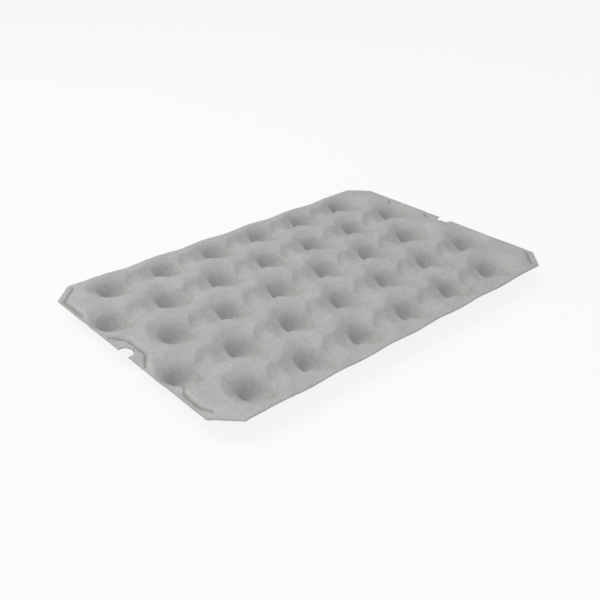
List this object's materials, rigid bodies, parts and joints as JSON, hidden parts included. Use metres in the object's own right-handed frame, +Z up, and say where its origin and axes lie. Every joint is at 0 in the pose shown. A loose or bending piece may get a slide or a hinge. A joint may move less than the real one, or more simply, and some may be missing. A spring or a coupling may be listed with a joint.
{
  "type": "moulded fibre produce tray",
  "caption": "Rectangular moulded paper-pulp tray with offset rows of round fruit cups, soft crests, cut corners and a thumb notch in each short side.",
  "frame": {"origin": "centre of the tray in plan, on the surface that its cup floors stand on", "axes": "+X along the length, +Y across the width, +Z up out of the cups"},
  "size_m": [0.57, 0.375, 0.0315],
  "materials": {
    "pulp": "matt grey recycled paper pulp with a faint mottle and fibrous edges"
  },
  "bodies": {
    "root": {"tray": "pulp"}
  },
  "joints": []
}
